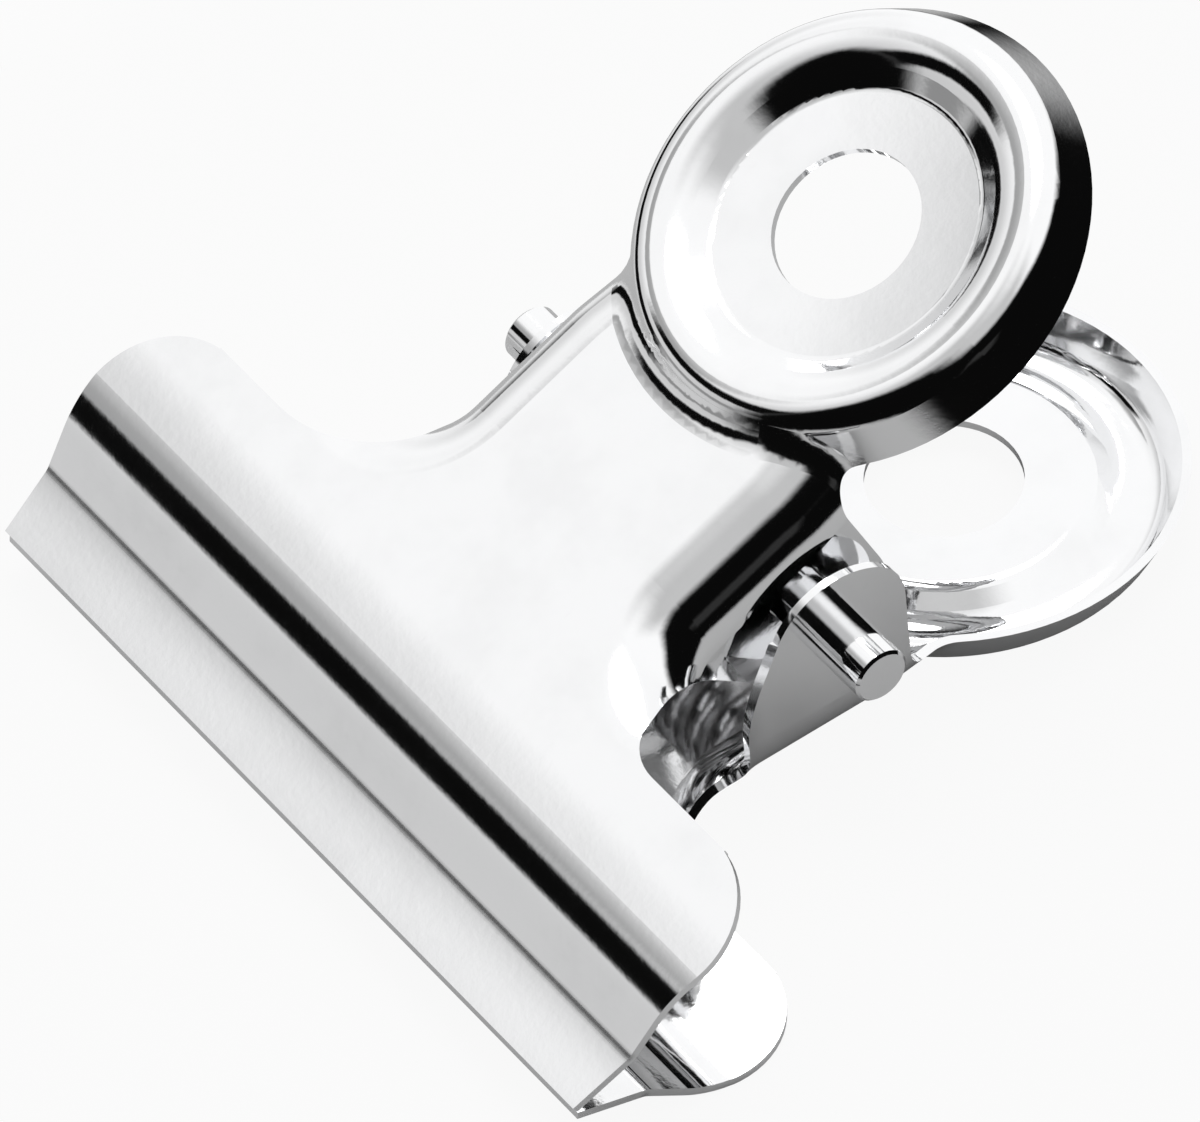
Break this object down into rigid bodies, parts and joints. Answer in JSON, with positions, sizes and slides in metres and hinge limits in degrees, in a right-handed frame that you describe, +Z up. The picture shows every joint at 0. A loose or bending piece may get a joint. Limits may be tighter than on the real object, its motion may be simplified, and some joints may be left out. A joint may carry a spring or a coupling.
{
  "type": "bulldog clip",
  "caption": "Chromed bulldog clip with wide pressed jaw plates and round dished handles, hinged on a pin and held shut by a coiled spring.",
  "frame": {"origin": "on the surface that the clip lies on, under the middle of its bounding box", "axes": "+X across the jaws, along the hinge pin; +Y from the jaws towards the handles; +Z up, from the rear plate to the front plate"},
  "size_m": [0.0516, 0.0536, 0.0299],
  "materials": {
    "plate": "bright nickel or chrome plating on pressed steel",
    "pin": "bright plated steel",
    "spring": "drawn spring wire"
  },
  "bodies": {
    "rear": {"rear_plate": "plate", "hinge_pin": "pin", "spring": "spring"},
    "front": {"front_plate": "plate"}
  },
  "joints": [
    {"name": "squeeze", "type": "hinge", "parent": "rear", "child": "front", "pos_m": [0, -0.00077, 0.00935], "axis": [-1, 0, 0], "range_deg": [0, 50], "stiffness_Nm_per_rad": 0.22, "springref_deg": -25.78, "deforming": ["spring"]}
  ]
}
